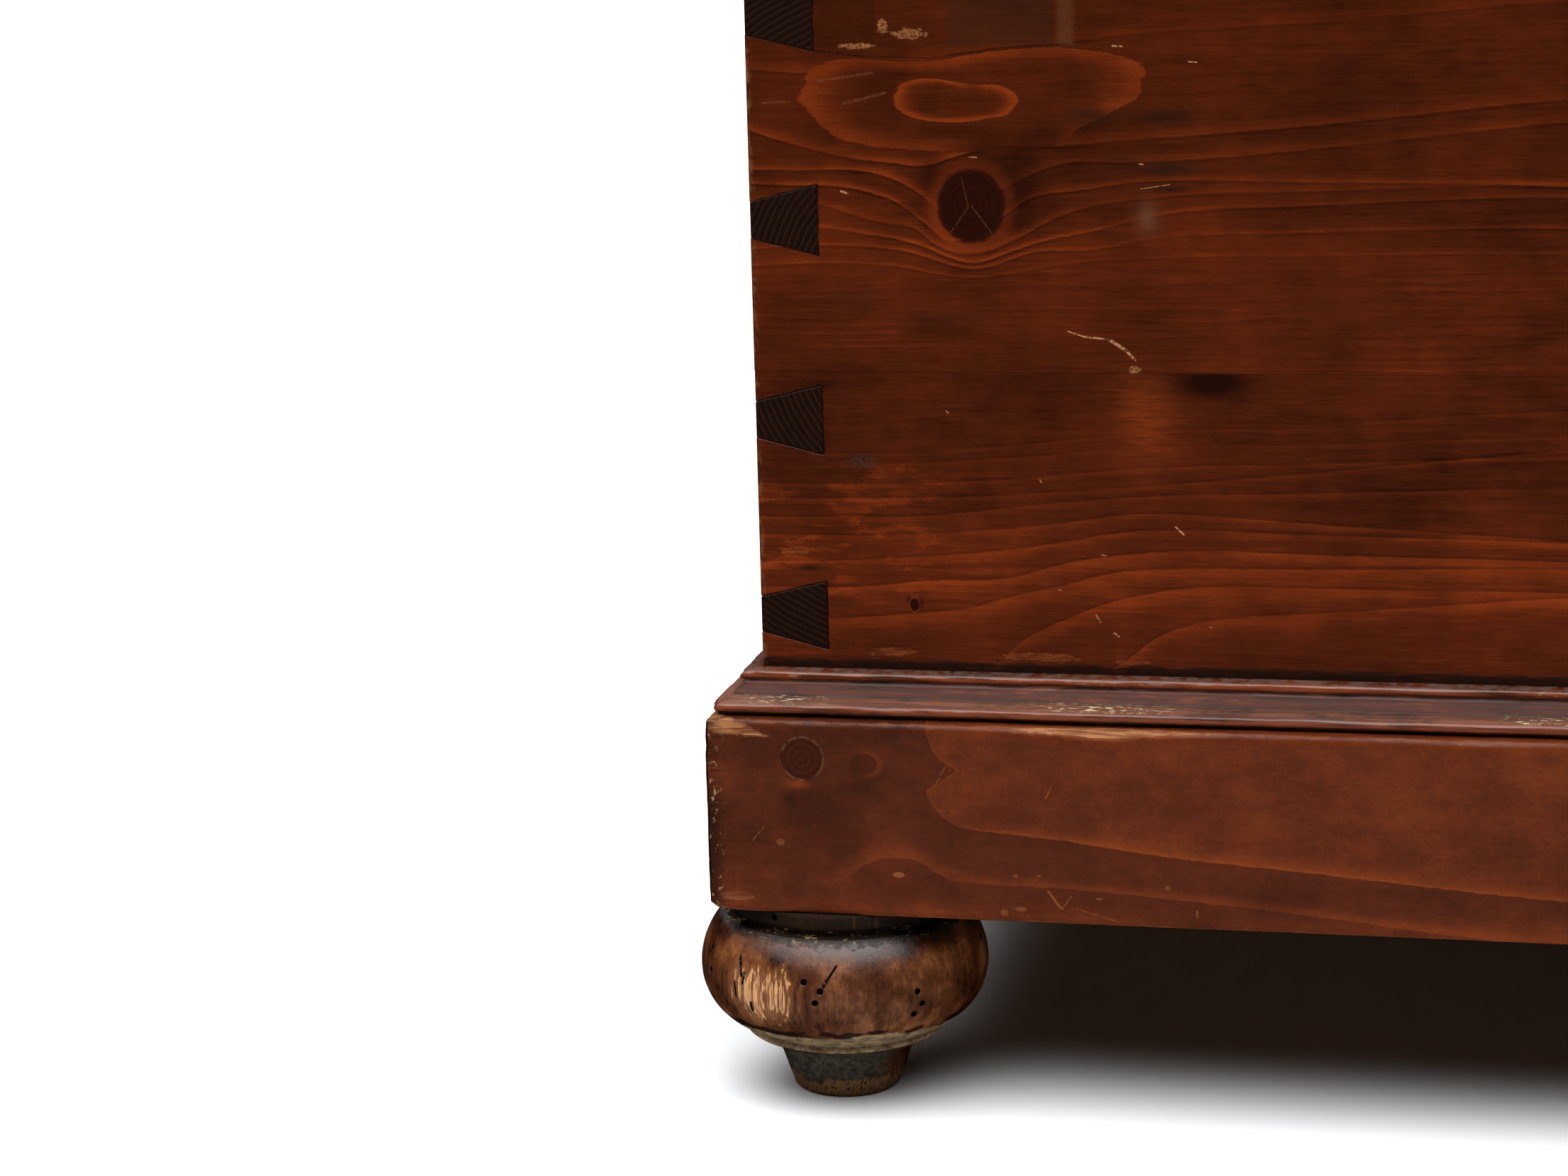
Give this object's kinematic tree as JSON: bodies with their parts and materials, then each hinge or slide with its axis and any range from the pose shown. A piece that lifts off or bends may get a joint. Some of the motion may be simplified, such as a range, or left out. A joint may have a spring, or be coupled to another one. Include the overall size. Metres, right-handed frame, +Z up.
{
  "type": "blanket chest",
  "caption": "Dovetailed pine blanket chest on turned bun feet, with moulded plinth, hinged lid, inner till, strap hinges, lock and key.",
  "frame": {"origin": "middle of the overall footprint, on the floor under the feet", "axes": "+X along the length to the chest's right as seen from the front, +Y to the back, +Z up"},
  "size_m": [1.1556, 0.5397, 0.5695],
  "materials": {
    "case_wood": "satin shellac over red-brown stained pine, worn at the arrises",
    "plinth_wood": "satin shellac over stained pine, bare at knocked corners",
    "moulding_wood": "worn shellac, lighter on the noses",
    "lid_wood": "satin shellac over stained pine",
    "foot_wood": "rubbed dark varnish with worm holes",
    "inside_wood": "bare aged pine",
    "iron": "dull black forged iron",
    "brass": "dull aged brass"
  },
  "bodies": {
    "case": {"back_board_lower": "case_wood", "back_board_upper": "case_wood", "base_moulding_front": "moulding_wood", "base_moulding_left": "moulding_wood", "base_moulding_right": "moulding_wood", "bottom_board_1": "inside_wood", "bottom_board_2": "inside_wood", "bottom_board_3": "inside_wood", "corner_block_back_left": "inside_wood", "corner_block_back_right": "inside_wood", "corner_block_front_left": "inside_wood", "corner_block_front_right": "inside_wood", "escutcheon": "brass", "escutcheon_pins": "brass", "feet_back": "foot_wood", "feet_front": "foot_wood", "front_board_lower": "case_wood", "front_board_upper": "case_wood", "hinge_leaf_left": "iron", "hinge_leaf_nails": "iron", "hinge_leaf_right": "iron", "hinge_pin_left": "iron", "hinge_pin_right": "iron", "left_board_lower": "case_wood", "left_board_upper": "case_wood", "lock_cover": "iron", "lock_nails": "iron", "lock_plate": "iron", "plinth_back_rail": "inside_wood", "plinth_front": "plinth_wood", "plinth_left": "plinth_wood", "plinth_right": "plinth_wood", "right_board_lower": "case_wood", "right_board_upper": "case_wood", "till_floor": "inside_wood", "till_side": "inside_wood"},
    "lid": {"lid_board_front": "lid_wood", "lid_board_back": "lid_wood", "lid_moulding_front": "moulding_wood", "lid_moulding_left": "moulding_wood", "lid_moulding_right": "moulding_wood", "hinge_strap_left": "iron", "hinge_strap_right": "iron", "hinge_strap_nails": "iron", "lid_strike": "iron", "strike_nails": "iron"},
    "key": {"key": "iron"},
    "bolt": {"lock_bolt": "iron"}
  },
  "joints": [
    {"name": "lid_hinge", "type": "hinge", "parent": "case", "child": "lid", "pos_m": [0, 0.2639, 0.5465], "axis": [-1, 0, 0], "range_deg": [0, 100]},
    {"name": "key_turn", "type": "hinge", "parent": "case", "child": "key", "pos_m": [0, -0.2421, 0.508], "axis": [0, 1, 0], "range_deg": [0, 360]},
    {"name": "bolt_slide", "type": "slide", "parent": "case", "child": "bolt", "axis": [1, 0, 0], "range_m": [0, 0.01]}
  ],
  "couplings": [
    {"joint": "key_turn", "follows": "bolt_slide", "rad_per_m": 628.32}
  ]
}
